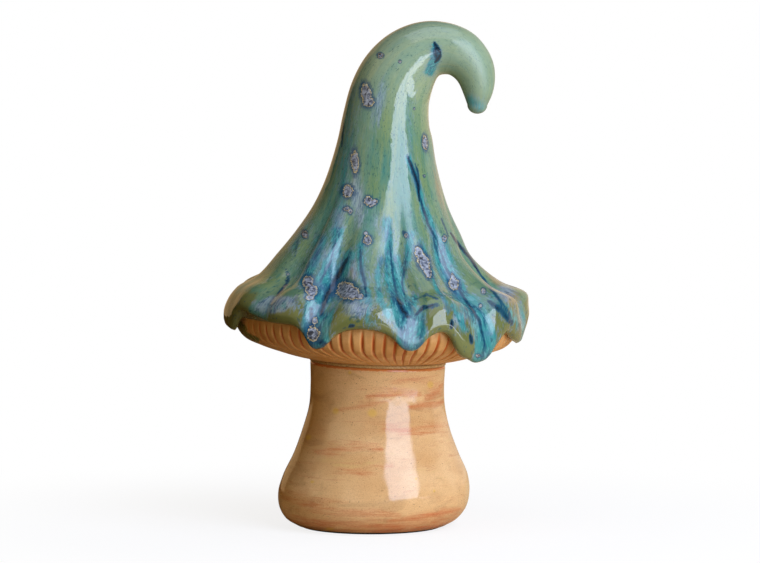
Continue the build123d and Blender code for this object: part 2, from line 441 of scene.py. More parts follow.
# %% [markdown]
# ## Where the brush and the kiln put their marks
#
# Runs, pools and crystals follow no rule, so they are noted as an eye in front of the ornament
# sees them: on an upright pane of glass through the middle of the foot, in millimetres to the
# right and upwards. A mark falls on every point of the surface that the eye sees through it. On
# the sides and the back, which nobody has noted, marks are strewn by a seeded draw.

# %% the pane and the marks
EYE = np.array([4.3, -2200.0, 285.0])
draw = np.random.default_rng(11)


def on_pane(points):
    """Where the straight line from the eye to each point passes the pane at Y = 0."""
    reach = EYE[1] / (EYE[1] - points[..., 1:2])
    return (EYE + (points - EYE) * reach)[..., [0, 2]]


def facing(points):
    """How squarely each point of a grid of rings looks at the eye, from -1 to 1."""
    along = np.gradient(points, axis=0)
    round_about = np.roll(points, -1, 1) - np.roll(points, 1, 1)
    normal = np.cross(round_about, along)
    normal /= np.maximum(np.linalg.norm(normal, axis=-1, keepdims=True), 1e-9)
    sight = EYE - points
    sight /= np.linalg.norm(sight, axis=-1, keepdims=True)
    return (normal * sight).sum(axis=-1)


def nearest_on_stroke(pane, stroke):
    """Distance from each place on the pane to a line through a few points, and how far along
    the line, from 0 to 1, its nearest point lies."""
    stroke = np.asarray(stroke, float)
    marks = lengths_along(stroke)
    nearest = np.full(pane.shape[:-1], 1e9)
    share = np.zeros(nearest.shape)
    for start, end, before, after in zip(stroke, stroke[1:], marks, marks[1:]):
        way = np.clip(((pane - start) @ (end - start)) / ((end - start) @ (end - start)), 0, 1)
        gap = np.linalg.norm(pane - start - way[..., None] * (end - start), axis=-1)
        share = np.where(gap < nearest, (before + way * (after - before)) / marks[-1], share)
        nearest = np.minimum(nearest, gap)
    return nearest, share


def distance_to_patch(pane, x, z, half_wide, half_tall, lean=0.0):
    """Distance from an ellipse's centre, as a share of its radius; lean turns its top leftwards."""
    across, up = pane[..., 0] - x, pane[..., 1] - z
    c, s = cos(radians(lean)), sin(radians(lean))
    return np.hypot((across * c + up * s) / half_wide, (up * c - across * s) / half_tall)


def nearest_patch(pane, facing_share, rows):
    """Distance to the nearest patch, up to 3, where the surface faces the eye."""
    field = np.full(pane.shape[:2], 3.0)
    for patch in rows:
        away = distance_to_patch(pane, *patch)
        field = np.minimum(field, np.where(facing_share > 0.3, away, 3.0))
    return field


seen = on_pane(cap_points)
front = swell(facing(cap_points), 0.0, 0.12)
front = np.where(cap_along[:, None] > 0, front, 0.0)
print("share of the cap that faces the eye:", round(float((front > 0.5).mean()), 2))

# %% blue runs and dark lines
# strength, half width, then the points of the run
pools = [
    (0.9, 1.5, [(31, 235.5), (33, 232)]), (1.0, 2.6, [(31.5, 233), (31, 229), (28.5, 223.5)]),
    (0.8, 1.8, [(18, 181), (21, 173), (24, 163), (27, 152)]),
    (0.9, 2.2, [(26, 156), (30.5, 143), (34.5, 134)]),
    (1.0, 4.0, [(33, 138), (37.5, 125), (42.5, 117), (47.5, 109)]),
    (1.1, 5.0, [(47.5, 109), (54, 100), (57, 92), (57, 82)]),
    (0.55, 4.0, [(60, 112), (67, 105), (73, 99)]), (0.9, 2.6, [(8, 150), (9, 135), (10.5, 125)]),
    (1.1, 4.6, [(10, 130), (12, 117), (14, 108)]), (1.2, 6.0, [(15, 108), (17.5, 100), (18.5, 90)]),
    (0.8, 2.6, [(19.5, 143), (17.5, 132), (14, 120)]), (0.7, 2.4, [(21, 112), (20, 104)]),
    (0.9, 3.2, [(-16.5, 145), (-17.5, 135), (-22.5, 125)]),
    (1.1, 4.6, [(-21, 127), (-26, 116), (-28.5, 106)]),
    (1.2, 5.0, [(-28, 108), (-29, 98), (-24, 88)]),
    (0.8, 3.4, [(-24.5, 141), (-28.5, 130), (-33, 121)]),
    (0.35, 3.4, [(-53, 104), (-47, 109), (-37, 109), (-31, 103)]),
    (1.0, 3.2, [(-11, 133), (-17, 121), (-21, 112)]),
    (0.7, 2.6, [(-5, 138), (-5, 127), (-3, 119), (-1, 110)]),
    (0.5, 4.0, [(-6, 112), (-2, 106), (0, 100)]), (0.6, 3.0, [(40, 108), (44, 103), (46, 97)]),
    (0.5, 3.0, [(-13, 180), (-14, 160), (-18, 145)]), (0.2, 3.0, [(20, 215), (18, 195), (19, 180)]),
    (0.4, 5.0, [(-10, 215), (-12, 198), (-13, 186)]),
    (0.7, 2.2, [(5, 132), (3, 122), (4, 112), (8, 104)]),
    (0.6, 2.0, [(24, 140), (28, 128), (34, 114), (38, 106)]), (0.6, 3.5, [(48, 209), (53, 206)]),
    (0.5, 3.0, [(-31, 150), (-38, 138)]),
]
inks = [
    (1.6, 0.9, [(30.6, 237.5), (32, 235), (34, 232)]),
    (1.5, 1.0, [(34, 232), (32.8, 229.5), (31, 227.5)]),
    (1.3, 1.2, [(31.3, 235), (31.6, 232), (32, 229)]),
    (1.5, 0.9, [(17.5, 182), (19.5, 177.5), (21.5, 172), (23, 167.5), (23.5, 160)]),
    (1.1, 0.6, [(23, 164), (26, 154), (28, 148), (33, 139)]),
    (1.0, 0.5, [(21.5, 178), (23, 173.5), (23.5, 168)]),
    (1.2, 0.7, [(32, 141), (37, 126), (42, 118), (47, 110), (53, 101), (56, 88)]),
    (0.9, 0.5, [(30, 142), (34, 130), (40, 121)]),
    (1.4, 0.8, [(39, 144), (43.5, 137.5), (48.5, 132), (53, 124.5)]),
    (1.0, 0.8, [(52.5, 125), (61.5, 113), (67.5, 105), (70, 99)]),
    (1.2, 1.5, [(57, 111), (64, 106), (69, 99)]),
    (1.0, 0.6, [(9, 140), (10.5, 124), (12.5, 114), (15.5, 104), (16.5, 94)]),
    (1.5, 1.5, [(12.5, 113), (15.5, 106), (19, 102)]),
    (0.9, 0.6, [(18, 135), (15, 120), (17, 110)]),
    (1.6, 1.5, [(-11.5, 132), (-18.5, 119), (-22, 113), (-25, 103)]),
    (0.9, 0.7, [(-17, 142), (-20, 130), (-25, 120)]),
    (1.5, 1.4, [(-29.5, 108), (-29, 99), (-27, 92), (-20, 87)]),
    (1.2, 0.8, [(-42.5, 127), (-40.5, 123), (-41.5, 119), (-46.5, 113)]),
    (1.2, 0.7, [(-5.3, 137), (-5.2, 127), (-3, 119), (-2.5, 113)]),
    (1.5, 0.9, [(21.5, 103.5), (25.5, 107.5), (34, 109)]),
    (1.0, 0.6, [(21, 111.5), (27, 114), (34, 111)]), (1.5, 0.8, [(39.5, 102), (39.5, 97)]),
    (1.5, 0.8, [(-11.3, 98.5), (-8.7, 98.5)]), (1.5, 0.9, [(48.5, 94.5), (49.5, 89)]),
    (1.2, 1.3, [(15.5, 145), (18.5, 141.5)]), (0.9, 0.6, [(-35.5, 142), (-38, 131)]),
    (0.9, 0.5, [(-13.5, 198), (-14.5, 186)]), (0.9, 0.5, [(34, 152), (38, 142)]),
]


def painted(pane, facing_share, rows, taper=0.0):
    """The strongest mark at each point, each fading as a bell curve away from its line, whose
    ends are narrower by the taper's share."""
    field = np.zeros(pane.shape[:2])
    for strength, half_width, stroke in rows:
        gap, share = nearest_on_stroke(pane, stroke)
        width_here = half_width * (1 - taper + taper * np.sin(pi * share) ** 0.6) + 0.2
        field = np.maximum(field, facing_share * strength * np.exp(-((gap / width_here) ** 2)))
    return field


pool, ink = painted(seen, front, pools), painted(seen, front, inks, 0.8)
hidden_side = 1 - front
gap_mm = cap_aside * np.radians(1) * np.linalg.norm(cap_grid[..., :2], axis=-1)
wander = 2.0 * np.sin(cap_along / 13 + 1.7)[:, None]
fading = (1 - swell(cap_along, 45, 110))[:, None]
pool = np.maximum(pool, hidden_side * fading * np.exp(-(((gap_mm + wander) / 5.0) ** 2)))
ink = np.maximum(ink, hidden_side * 1.2 * fading * np.exp(-(((gap_mm + wander) / 1.3) ** 2)))
drip_pool = (1 - swell(cap_along, 8, 26))[:, None] * (1 - swell(cap_rise, 0.1, 0.7))
pool = np.maximum(pool, drip_pool * np.minimum(cap_drip, 1.0))
pool[: len(room)] = 0
print("pools cover", round(float((pool > 0.4).mean()), 2), "of the grid")

# %% frosty violet, thin olive and rusty brown places
# strength, x, z, half width, half height, lean
frost = [
    (0.9, -6.5, 160, 4.5, 19, 5), (0.9, -15.5, 151, 4, 13, -8), (0.7, -21, 133, 6, 11, -12),
    (0.7, -9.5, 127, 4.5, 10, 0), (1.0, -6, 107, 9, 6, 0), (1.0, 44, 102, 5, 5, 20),
    (0.8, -44, 109, 8, 4, 20), (1.6, -47, 109, 11, 4, 10), (0.6, 33, 141, 3, 8, 25),
    (0.8, 66, 116, 7, 6, 30), (0.6, 3, 150, 3.5, 12, 0), (0.8, 20, 97, 3, 3, 0),
    (0.75, 4, 208, 4, 18, -10),
]
thin = [
    (0.9, 6, 198, 4.5, 15, 0), (0.9, 1, 168, 4, 11, 0), (1.1, 24, 203, 6, 22, 6),
    (0.8, -52, 121, 11, 6, 20), (0.8, -33, 137, 5, 9, -30), (0.9, 26, 150, 4, 18, 15),
    (0.7, 10, 160, 3, 14, 0), (0.8, 48, 116, 4, 8, 25), (0.5, 47, 242, 9, 4, 0),
    (0.8, 24, 178, 4, 20, 10), (0.9, 62, 97, 6, 3, -20), (0.9, 30, 99, 8, 3, 0),
    (0.8, 30, 113, 7, 9, 15), (0.8, -8, 99, 10, 3, 0), (0.8, -45, 101, 12, 3, 10),
]
iron_places = [
    (0.9, 61, 123, 4, 13, 38), (1.0, 68, 112, 8, 6, -30), (0.8, -9, 127, 3, 8, 0),
    (0.7, -62, 111, 8, 4, 35), (0.6, -33, 150, 3, 16, -25), (0.7, 33, 165, 2, 20, 12),
    (0.7, -3, 117, 5, 2, 0), (0.6, 13, 245, 10, 2.5, 0), (0.6, 57, 101, 3, 5, 20),
    (0.5, -37, 112, 4, 3, 0),
]


def patches(rows):
    """The strongest patch at each point of the cap, each fading as a bell from its centre."""
    field = np.zeros(seen.shape[:2])
    for strength, *patch in rows:
        away = distance_to_patch(seen, *patch)
        field = np.maximum(field, front * strength * np.exp(-away * away))
    return field


violet, olive, brown = patches(frost), patches(thin), patches(iron_places)
for field, count in ((violet, 14), (olive, 12)):
    rows_drawn = draw.integers(len(room) + 20, len(room) + 130, count)
    columns_drawn = draw.integers(0, around, count)
    for spot in cap_points[rows_drawn, columns_drawn]:
        stretched = (cap_points - spot) / np.array([5.0, 5.0, 12.0])
        field[:] = np.maximum(field, hidden_side * 0.9 * np.exp(-(stretched**2).sum(axis=-1)))

# %% crystals
# x, z, half width, half height, lean
crystals = [
    (-2.5, 212.5, 2.4, 4.2, 8), (-1.5, 208.5, 2.6, 2.6, 0), (-8, 179, 1.8, 4.9, 4),
    (-11.5, 164.5, 2.5, 2.8, 0), (-1.5, 160, 1.9, 2.0, 0), (0.8, 158.8, 2.4, 1.3, 30),
    (-12, 156, 1.5, 1.1, 0), (-10.3, 154.8, 1.0, 1.4, 0), (4.5, 231, 1.3, 1.2, 0),
    (14, 228, 0.7, 0.7, 0), (26.3, 188.5, 1.2, 3.2, 4), (-1.7, 140.6, 1.9, 2.1, 0),
    (-2.6, 144, 0.9, 0.9, 0), (23.4, 134.5, 1.9, 3.0, 15), (25.6, 130, 2.6, 4.2, 25),
    (27.7, 125, 1.7, 2.8, 20), (40.5, 119.2, 2.3, 2.9, 10), (39.7, 123.4, 0.9, 1.2, 0),
    (-31, 120, 2.4, 2.9, 0), (-29.3, 116, 2.6, 3.0, 20), (-30, 112.6, 1.9, 1.4, 0),
    (-12.6, 116, 4.2, 3.9, -15), (-9, 114.5, 3.2, 3.0, 0), (-5.8, 113, 1.9, 1.3, 0),
    (-28.5, 94.5, 3.1, 3.2, 0), (-27.6, 101, 1.3, 1.8, 0), (55, 115.5, 1.0, 1.3, 0),
    (53.5, 108.5, 0.8, 1.0, 0), (36, 141.5, 1.0, 1.5, 0), (-32.5, 143.5, 1.2, 1.8, 20),
    (52.5, 84, 1.1, 0.9, 0), (17, 143, 0.8, 1.0, 0), (26, 172, 0.6, 0.6, 0),
    (-40.6, 124, 0.6, 0.6, 0), (21, 205, 0.5, 0.5, 0), (12, 100, 0.6, 0.5, 0),
]
crystal = nearest_patch(seen, front, crystals)
rows_drawn = draw.integers(len(room) + 12, len(room) + 140, 26)
columns_drawn = draw.integers(0, around, 26)
sizes = draw.uniform(0.8, 3.6, 26)
for spot, size in zip(cap_points[rows_drawn, columns_drawn], sizes):
    if spot[1] > 8:
        away = np.linalg.norm((cap_points - spot) / (size * np.array([1, 1, 1.5])), axis=-1)
        crystal = np.minimum(crystal, away)
crystal = np.minimum(crystal, 3.0)

# %% the way the glaze ran, and all the fields of the cap
# round the cap on a cylinder of 30 mm, and along the outer line from the rim to the tip
flow = np.empty(cap_points.shape)
flow[..., 0] = 30 * np.cos(cap_angle)
flow[..., 1] = 30 * np.sin(cap_angle)
flow[..., 2] = cap_along[:, None]
cap_fields = {
    "flow": flow,
    "along": np.repeat(cap_along[:, None], around, 1),
    "rise": np.repeat(cap_rise[None, :], len(cap_along), 0),
    "pool": pool, "ink": ink, "violet": violet, "olive": olive, "brown": brown,
    "crystal": crystal,
}

# %% [markdown]
# ## The running glaze
#
# The cap was dipped in a reactive glaze. Where it lies thin, on ridges and over the rolled rim, it
# fires olive, and rusty where iron comes through; where it ran together in the valleys it is deep
# blue with a pale froth; and in still places it grew zinc crystals, rough grey-violet patches with
# a tan edge in a dark blue halo. The colour is built in that order, and every change of colour is
# frayed by streaks that follow the way the glaze ran, in four widths, down to hair-thin feathers.

# %% the cap's ground tone
glaze = Finish("cap_glaze", IOR=1.56)
place = glaze.place()
run = glaze.field("flow", "Vector")
streak_broad = glaze.noise(glaze.times(run, 1, 1, 0.14), 0.15, 3, 0.5, 0.6)
streak = glaze.noise(glaze.times(run, 1, 1, 0.2), 0.6, 5, 0.62, 0.8)
feather = glaze.noise(glaze.times(run, 1, 1, 0.13), 1.4, 4, 0.66, 1.2)
streak_fine = glaze.noise(glaze.times(run, 1, 1, 0.16), 2.4, 4, 0.65, 0.7)
cloud = glaze.noise(place, 0.07, 4, 0.55)
mottle = glaze.noise(place, 0.42, 4, 0.62)

tone = glaze.mix(glaze.step(streak_broad, 0.36, 0.64), colour(114, 138, 110), colour(78, 126, 118))
tone = glaze.wash(tone, mottle, 0.45, 0.7, 0.4, (84, 120, 96))
tone = glaze.wash(tone, streak, 0.54, 0.76, 0.25, (150, 174, 160))
tone = glaze.wash(tone, streak, 0.46, 0.28, 0.25, (58, 108, 104))
lies_thin = glaze.frayed(glaze.field("olive"), (cloud, 1.0), (streak, 0.5))
tone = glaze.wash(tone, lies_thin, 0.1, 0.9, 0.6, (112, 132, 84))

# %% from the rim to the horn
# paler towards the crook, greener again at the tip, feathered down the skirt, olive on the ridges
along, rise = glaze.field("along"), glaze.field("rise")
tone = glaze.wash(tone, along, 100, 170, 0.5, (160, 174, 152))
tone = glaze.wash(tone, along, 190, 235, 0.4, (104, 130, 108))
feathered = glaze.product(glaze.step(along, 150, 60, 0.25, 0.55), glaze.step(feather, 0.5, 0.64))
tone = glaze.mix(feathered, tone, colour(44, 106, 112))
low_ridge = glaze.product(glaze.step(along, 80, 25), glaze.step(rise, 0.2, 0.9))
low_ridge = glaze.frayed(low_ridge, (cloud, 0.8))
tone = glaze.wash(tone, low_ridge, 0.2, 1.0, 0.4, (92, 110, 74))
rusty = glaze.frayed(glaze.field("brown"), (streak, 1.2), (streak_fine, 0.6))
tone = glaze.wash(tone, rusty, 0.3, 0.9, 0.7, (150, 124, 92))
bare_rim = glaze.product(glaze.step(along, 21, 11), glaze.step(rise, 0.1, 0.6))
bare_rim = glaze.frayed(bare_rim, (streak, 0.8))
tone = glaze.wash(tone, bare_rim, 0.3, 0.85, 0.85, (102, 106, 58))

frosty = glaze.frayed(glaze.field("violet"), (streak, 1.2), (streak_fine, 0.6))
frost_tone = glaze.mix(glaze.step(feather, 0.38, 0.6), colour(84, 104, 150), colour(150, 170, 188))
tone = glaze.wash(tone, frosty, 0.3, 0.9, 0.75, frost_tone)

# %% pools, froth and ink in the glaze
ragged = glaze.frayed(glaze.field("pool"), (streak, 1.1), (streak_fine, 0.5))
water = glaze.mix(glaze.step(streak, 0.36, 0.6), colour(12, 72, 108), colour(46, 132, 142))
water = glaze.wash(water, streak_fine, 0.54, 0.72, 0.6, (112, 178, 186))
water = glaze.wash(water, feather, 0.52, 0.62, 0.6, (100, 168, 184))
water = glaze.wash(water, cloud, 0.5, 0.64, 0.35, (92, 108, 160))
tone = glaze.wash(tone, ragged, 0.2, 0.72, 0.92, water)
shore = glaze.product(glaze.step(ragged, 0.1, 0.3), glaze.step(ragged, 0.62, 0.36))
shore = glaze.product(shore, glaze.step(streak_fine, 0.48, 0.62, 0.0, 0.6))
tone = glaze.mix(shore, tone, colour(118, 138, 172))
drawn = glaze.frayed(glaze.field("ink"), (streak_fine, 0.9), (mottle, 0.9))
tone = glaze.wash(tone, drawn, 0.3, 0.85, 0.9, (14, 66, 98))
tone = glaze.wash(tone, drawn, 0.85, 1.4, 0.85, (12, 20, 38))

dash = glaze.noise(glaze.times(run, 1, 1, 0.45), 1.2, 3, 0.55, 0.3)
dash_here = glaze.step(glaze.noise(place, 0.2, 2), 0.38, 0.54)
dashes = glaze.product(glaze.step(dash, 0.57, 0.65), dash_here, 0.6)
tone = glaze.mix(dashes, tone, colour(28, 72, 84))

# %% crystals in the glaze
grain = glaze.noise(place, 1.6, 3, 0.6)
blotch = glaze.noise(place, 0.7, 3, 0.6)
edge = glaze.frayed(glaze.field("crystal"), (glaze.noise(place, 0.5, 4, 0.7), 1.3), (grain, 0.5))
tone = glaze.wash(tone, edge, 2.0, 1.1, 0.85, (16, 62, 104))
edge_tone = glaze.mix(glaze.step(grain, 0.42, 0.6), colour(206, 194, 156), colour(112, 92, 58))
heart = glaze.mix(glaze.step(blotch, 0.38, 0.62), colour(78, 88, 112), colour(150, 158, 180))
heart = glaze.wash(heart, glaze.noise(place, 0.62, 2, 0.5), 0.55, 0.6, 0.9, (18, 22, 36))
inside = glaze.step(edge, 1.1, 1.0)
tone = glaze.mix(inside, tone, glaze.wash(edge_tone, edge, 0.96, 0.84, 1.0, heart))
glaze.send("Base Color", tone)

# %% [markdown]
# ## Gloss and relief of the glaze
#
# The glaze is as smooth as glass on the cone, so the window shows in it with sharp edges. It is
# duller in the froth of the pools, on the streaky skirt, on the crystals, and on the horn, which
# stood nearest to the kiln's flame. Slow waves bend the reflections a little, and the crystals
# stand up from the surface.

# %% gloss and relief
froth = glaze.product(ragged, glaze.step(streak_fine, 0.3, 0.6, 0.5, 1.0))
streaky_skirt = glaze.product(glaze.step(along, 92, 70), glaze.step(along, 24, 38))
streaky_skirt = glaze.product(streaky_skirt, glaze.step(streak_fine, 0.35, 0.65, 0.2, 0.34))
near_tip = glaze.frayed(along, (cloud, 16.0))
dullness = glaze.step(froth, 0.2, 0.9, 0.05, 0.24)
for other in (
    streaky_skirt,
    glaze.step(near_tip, HORN_DULL, HORN_DULL + 26, 0.0, 0.42),
    glaze.product(inside, 0.4),
):
    dullness = glaze.math("MAXIMUM", dullness, other)
glaze.send("Roughness", dullness)

waves = glaze.bump(glaze.noise(place, 0.13, 2, 0.4), 0.3)
ripples = glaze.bump(streak, 0.02, normal=waves)
raised = glaze.product(inside, glaze.math("ADD", 0.6, glaze.product(blotch, 0.4)))
glaze.send("Normal", glaze.bump(raised, 0.4, normal=ripples))

make_piece(
    "cap_glaze_skin", cap_points, "cap", ["cap_shell"], glaze.material, cap_fields
)

# %% [markdown]
# ## The clay, the stem's glaze and the felt
#
# The underside was only washed with iron oxide and wiped, so the colour stays in the grooves. The
# stem has a clear buff glaze over a speckled body. Before the glaze it was brushed round with a
# pink slip, whose hairs show at the ends of the strokes, and a few grains of iron bled through.

# %% the washed clay and the pale ring
clay = Finish("bare_clay", IOR=1.45)
place = clay.place()
fine_grain = clay.noise(place, 2.2, 4, 0.65)
blotch = clay.noise(place, 0.12, 3)
clay_tone = clay.mix(clay.step(blotch, 0.35, 0.65), colour(206, 157, 104), colour(190, 138, 84))
clay_tone = clay.wash(clay_tone, fine_grain, 0.52, 0.7, 0.35, (150, 102, 56))
washed = clay.frayed(clay.field("groove"), (fine_grain, 0.5))
clay_tone = clay.wash(clay_tone, washed, 0.15, 0.6, 0.8, (192, 96, 40))
clay_tone = clay.wash(clay_tone, washed, 0.6, 1.0, 0.6, (170, 80, 30))
lapped = clay.step(clay.frayed(clay.field("lapped"), (fine_grain, 0.6)), 0.35, 0.6)
clay.send("Base Color", clay.mix(lapped, clay_tone, colour(102, 106, 58)))
clay_dullness = clay.step(blotch, 0.3, 0.7, 0.34, 0.52)
clay.send("Roughness", clay.math("SUBTRACT", clay_dullness, clay.product(lapped, 0.3)))
clay.send("Normal", clay.bump(fine_grain, 0.08))

pale = Finish("seat_ring_clay", IOR=1.45)
ring_grain = pale.noise(pale.place(), 1.2, 4, 0.6)
ring_mix = pale.step(ring_grain, 0.35, 0.65)
pale.send("Base Color", pale.mix(ring_mix, colour(196, 166, 120), colour(160, 122, 76)))
pale.send("Roughness", pale.step(ring_grain, 0.3, 0.7, 0.3, 0.5))
pale.send("Normal", pale.bump(ring_grain, 0.15))

# %% the stem's ground tone
buff = Finish("stem_glaze", IOR=1.5)
place = buff.place()
brushed = buff.noise(buff.times(place, 0.03, 0.03, 0.34), 1.0, 6, 0.62, 0.7)
cloudy = buff.noise(buff.times(place, 0.035, 0.035, 0.06), 1.0, 3, 0.5)
sand = buff.noise(place, 2.8, 3, 0.75)
wisps = buff.noise(buff.times(place, 0.05, 0.05, 0.5), 1.0, 5, 0.6, 1.2)
smudge = buff.noise(buff.times(place, 0.04, 0.04, 0.09), 1.0, 5, 0.65, 0.8)
height = buff.node("SeparateXYZ", {0: place}, "Z")
stem_tone = buff.mix(buff.step(cloudy, 0.35, 0.65), colour(226, 188, 146), colour(212, 168, 122))
stem_tone = buff.wash(stem_tone, brushed, 0.42, 0.28, 0.6, (214, 184, 126))
stem_tone = buff.wash(stem_tone, wisps, 0.54, 0.76, 0.45, (190, 130, 94))
# paler towards the neck and towards the foot: painted light, lifting the shade that the cap casts
# on the neck and the shade low on the stem
stem_tone = buff.wash(stem_tone, height, 48, 74, 0.35, (250, 214, 168))
stem_tone = buff.wash(stem_tone, height, 36, 10, 0.3, (250, 214, 168))
stem_tone = buff.wash(stem_tone, smudge, 0.5, 0.7, 0.45, (176, 138, 100))

# %% slip, freckles and iron on the stem
slipped = buff.frayed(buff.field("pink"), (brushed, 1.4), (wisps, 1.4), (sand, 1.2))
stem_tone = buff.wash(stem_tone, slipped, 0.1, 1.35, 0.9, (202, 110, 70))
stem_tone = buff.wash(stem_tone, sand, 0.46, 0.72, 0.6, (146, 100, 62))
stem_tone = buff.wash(stem_tone, buff.field("yellow"), 1.3, 0.4, 0.6, (220, 180, 86))
freckle = buff.node("TexVoronoi", {"Vector": place, "Scale": 0.3}, "Distance")
stem_tone = buff.wash(stem_tone, freckle, 0.1, 0.05, 0.6, (96, 60, 34))
grains = buff.frayed(buff.field("iron"), (buff.noise(place, 0.55, 4, 0.7), 1.0))
stem_tone = buff.wash(stem_tone, grains, 0.5, 0.85, 0.85, (204, 112, 46))
buff.send("Base Color", stem_tone)
buff.send("Roughness", buff.step(sand, 0.3, 0.8, 0.05, 0.12))
stem_waves = buff.bump(buff.noise(place, 0.08, 2, 0.5), 0.35)
buff.send("Normal", buff.bump(sand, 0.012, normal=stem_waves))

# %% the felt
felt = Finish("felt", Roughness=0.95)
fibres = felt.noise(felt.place(), 3.0, 5, 0.7)
felt.send("Base Color", felt.mix(fibres, colour(12, 11, 10), colour(46, 42, 38)))
felt.send("Normal", felt.bump(fibres, 0.1))

# %% [markdown]
# ## The carved gills
#
# The underside was turned as a shallow bowl, and eighty grooves were cut into the leather-hard
# clay with a loop tool, each bending the same way as it nears the neck. A groove is one wave of a
# cosine, and no two are equally deep. At the far left the glaze of the rim lapped over the edge.

# %% the gill plate
GILLS = 80
per_gill = 12
bowl_rows = np.array(
    [
        # radius, height, groove depth, twist in degrees
        (33.4, 1.5, 0.0, 11.0),
        (40.8, 2.9, 0.4, 6.8),
        (49.0, 5.1, 1.0, 3.3),
        (57.8, 7.9, 1.3, 0.9),
        (65.0, 11.3, 1.3, 0.0),
        (68.3, 15.8, 1.3, 0.0),
        (PLATE_EDGE, 22.0, 0.0, 0.0),
    ]
)
bowl_along = lengths_along(bowl_rows[:, :2])
bowl = through(bowl_along, bowl_rows, np.linspace(0, bowl_along[-1], 84))
phase = np.tile(np.arange(per_gill) / per_gill, GILLS)
gill_angle = 2 * pi * (np.arange(GILLS * per_gill) / (GILLS * per_gill))
groove = np.where(phase > 0.58, 0.5 - 0.5 * np.cos(2 * pi * (phase - 0.58) / 0.42), 0.0)
uneven = np.random.default_rng(4).uniform(0.75, 1.1, GILLS).repeat(per_gill)
groove = groove * uneven


# %% level rings
def level_ring(radius, height, angles, sink=0.0, x=0.0):
    """A level circle round x, drawn in and up by the sink, which may differ round the ring."""
    points = np.empty((len(angles), 3))
    points[:, 0] = x + (radius - sink) * np.cos(angles)
    points[:, 1] = (radius - sink) * np.sin(angles)
    points[:, 2] = height + sink
    return points


# %% the plate's skin, the seen side and then the hidden one
under = np.stack(
    [level_ring(r, z, gill_angle + radians(t), 0.75 * groove * d, -1.5) for r, z, d, t in bowl]
)
hidden = [
    # radius, height, sway
    (62.0, 21.95, -1.5), (50.0, 13.5, -1.5), (28.0, 7.5, -1.5), (21.7, 7.1, 0.0), (21.7, 1.5, 0.0),
]
inside = np.stack([level_ring(r, z, gill_angle, 0.0, x) for r, z, x in hidden])
plate_grid = np.concatenate([under, inside])

# where the glaze ran over the plate's edge, at its left end on the pane
lapped_edge = [
    (1.0, 3.4, [(-71, 108), (-68.5, 101), (-64, 96.5)]),
    (0.7, 1.9, [(-66, 97.5), (-60, 93.4), (-56, 91.6)]),
]
plate_seen = on_pane(on_seat(plate_grid))
plate_front = swell(facing(on_seat(plate_grid)), -0.05, 0.05)
fields = {
    "groove": np.concatenate([groove * (bowl[:, 2:3] / 1.3), np.zeros((len(hidden), len(groove)))]),
    "lapped": painted(plate_seen, plate_front, lapped_edge),
}
make_piece(
    "gill_underside", on_seat(plate_grid), "cap", ["gill_plate"],
    clay.material, fields, ring_shaped=True,
)

# %% [markdown]
# ## The collar and its seat ring
#
# A short spigot under the cap drops into the stem's mouth and keeps the cap from sliding off. Only
# the edge of its seat ring shows, as a pale band at the neck.

# %% the collar
turns = 2 * pi * np.arange(160) / 160
section = [(33.4, 0.25), (33.4, 1.25), (33.1, 1.5), (21.7, 1.5), (21.7, -10.0), (24.9, -10.0)]
section += [(25.9, -9.0), (25.9, -0.1), (26.2, 0.0), (33.1, 0.0)]
collar_grid = np.stack([level_ring(r, z, turns) for r, z in section])
make_piece(
    "collar_ring", on_seat(collar_grid), "cap", ["locating_collar"],
    pale.material, ring_shaped=True,
)

# %% [markdown]
# ## The thrown stem
#
# The stem was thrown on the wheel: a wide foot, a low belly and a long hollow neck. Its axis sways
# a little, and the mouth is cut to the cap's lean. The slip's strokes and the small yellow spots
# are noted where they are seen from the front, and iron colours the edge of the mouth.

# %% the stem
stem_rows = np.array(
    [
        # height, radius, sway
        (1.0, 37.0, 0.0),
        (4.2, 42.3, 0.2),
        (9.3, 45.8, 0.7),
        (17.3, 47.0, 1.3),
        (24.5, 45.6, 2.0),
        (36.0, 40.5, 2.4),
        (47.9, 36.2, 2.4),
        (59.8, 33.3, 2.8),
        (70.2, 32.8, 3.0),
        (79.6, 33.1, 3.2),
    ]
)
stem_along = lengths_along(stem_rows[:, :2])
thrown = through(stem_along, stem_rows, np.linspace(0, stem_along[-1], 150))
stem_turns = 2 * pi * np.arange(320) / 320
under_foot = [(1.0, 0.0, 0.0), (1.0, 34.0, 0.0)]
mouth_and_hollow = [
    # height, radius, sway: over the lip, down the stepped mouth and the hollow, to the floor
    (80.1, 33.0, 3.2), (80.4, 32.6, 3.2), (80.5, 32.0, 3.2), (80.5, 26.9, 3.2), (80.2, 26.5, 3.2),
    (66.5, 26.5, 3.2), (66.4, 25.3, 3.0), (60.0, 25.4, 2.8), (47.9, 28.3, 2.4), (36.0, 33.0, 2.4),
    (24.5, 37.8, 2.0), (14.0, 37.5, 1.2), (9.4, 33.0, 0.8), (9.0, 28.0, 0.6), (9.0, 0.0, 0.6),
]
stem_profile = np.vstack([under_foot, thrown, mouth_and_hollow])
stem_grid = np.stack([level_ring(r, z, stem_turns, 0.0, x) for z, r, x in stem_profile])
leant = swell(stem_profile[:, 0], 62, 80)[:, None]
stem_grid[:, :, 2] -= leant * tan(LEAN) * (stem_grid[:, :, 0] - SEAT[0])

